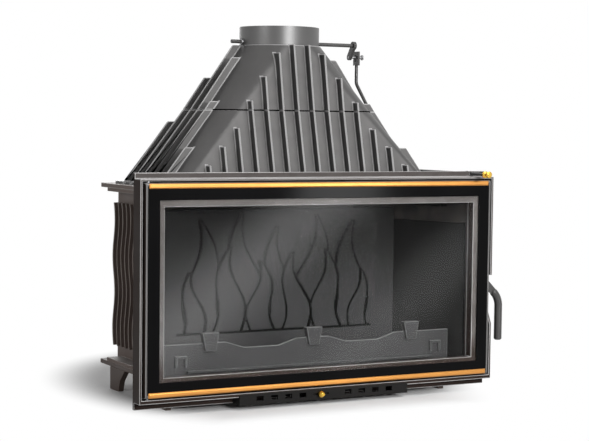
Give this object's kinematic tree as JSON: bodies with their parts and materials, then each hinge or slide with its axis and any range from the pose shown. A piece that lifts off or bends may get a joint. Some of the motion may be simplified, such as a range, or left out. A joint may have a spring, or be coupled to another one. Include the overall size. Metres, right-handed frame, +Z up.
{
  "type": "fireplace insert",
  "caption": "Cast-iron fireplace insert: wide glazed door with brass strips, ribbed tapered hood, flue collar with damper rod, and an air register below.",
  "frame": {"origin": "foot of the flue axis on the floor under the legs", "axes": "+Z up along the flue, +X to the right as seen from the front, the door faces -Y"},
  "size_m": [1.0455, 0.558, 0.951],
  "materials": {
    "cast_iron_grey": "satin grey stove paint on cast iron",
    "cast_iron_dark": "dark matt cast iron",
    "lining_iron": "bare grey cast iron, matt",
    "glass": "clear ceramic glass with a black border",
    "brass": "polished brass",
    "steel": "plain steel",
    "dark_steel": "black satin steel",
    "fibre_seal": "woven glass fibre"
  },
  "bodies": {
    "firebox": {"front_frame": "cast_iron_dark", "latch_keeper": "steel", "base_plate": "cast_iron_dark", "top_plate": "cast_iron_dark", "side_wall_left": "cast_iron_dark", "side_wall_right": "cast_iron_dark", "back_wall": "cast_iron_dark", "side_lining_left": "lining_iron", "side_lining_right": "lining_iron", "fireback": "lining_iron", "fireback_spacers": "cast_iron_dark", "smoke_baffle": "lining_iron", "baffle_ledge_left": "cast_iron_dark", "baffle_ledge_right": "cast_iron_dark", "log_guard": "lining_iron", "guard_clips": "steel", "fire_grate": "lining_iron", "ash_box": "dark_steel", "ash_pan": "dark_steel", "leg_rear_left": "cast_iron_dark", "leg_rear_right": "cast_iron_dark", "leg_front_left": "cast_iron_dark", "leg_front_right": "cast_iron_dark", "hood_lower": "cast_iron_grey", "hood_upper": "cast_iron_grey", "flue_collar": "cast_iron_grey", "register_cover": "dark_steel", "frame_bolts": "steel", "hood_bolts": "steel", "leg_bolts": "steel"},
    "door": {"door_frame": "cast_iron_dark", "brass_strip_top": "brass", "brass_strip_bottom": "brass", "strip_screws": "steel", "door_glass": "glass", "glass_seal": "fibre_seal", "door_rope_seal": "fibre_seal", "hinge_pins": "steel", "handle_pivot_pin": "steel"},
    "handle": {"door_handle": "dark_steel"},
    "air_slide": {"air_slide": "dark_steel", "air_knob": "brass"},
    "damper": {"damper_shaft": "dark_steel", "damper_disc": "cast_iron_dark", "shaft_washer": "steel", "damper_crank": "dark_steel", "crank_bolt": "steel"},
    "damper_rod": {"damper_rod": "dark_steel", "damper_knob": "brass"}
  },
  "joints": [
    {"name": "door_swing", "type": "hinge", "parent": "firebox", "child": "door", "pos_m": [-0.481, -0.266, 0.302], "axis": [0, 0, -1], "range_deg": [0, 95]},
    {"name": "handle_lift", "type": "hinge", "parent": "door", "child": "handle", "pos_m": [0.476, -0.2615, 0.3], "axis": [0, -1, 0], "range_deg": [0, 35]},
    {"name": "air_slide_move", "type": "slide", "parent": "firebox", "child": "air_slide", "axis": [1, 0, 0], "range_m": [-0.02, 0.02]},
    {"name": "damper_turn", "type": "hinge", "parent": "firebox", "child": "damper", "pos_m": [0, 0, 0.912], "axis": [-1, 0, 0], "range_deg": [0, 75]},
    {"name": "damper_rod_slide", "type": "slide", "parent": "firebox", "child": "damper_rod", "axis": [0, -1, 0], "range_m": [0, 0.0455]}
  ],
  "couplings": [
    {"joint": "damper_rod_slide", "follows": "damper_turn", "m_per_rad": 0.03438}
  ]
}
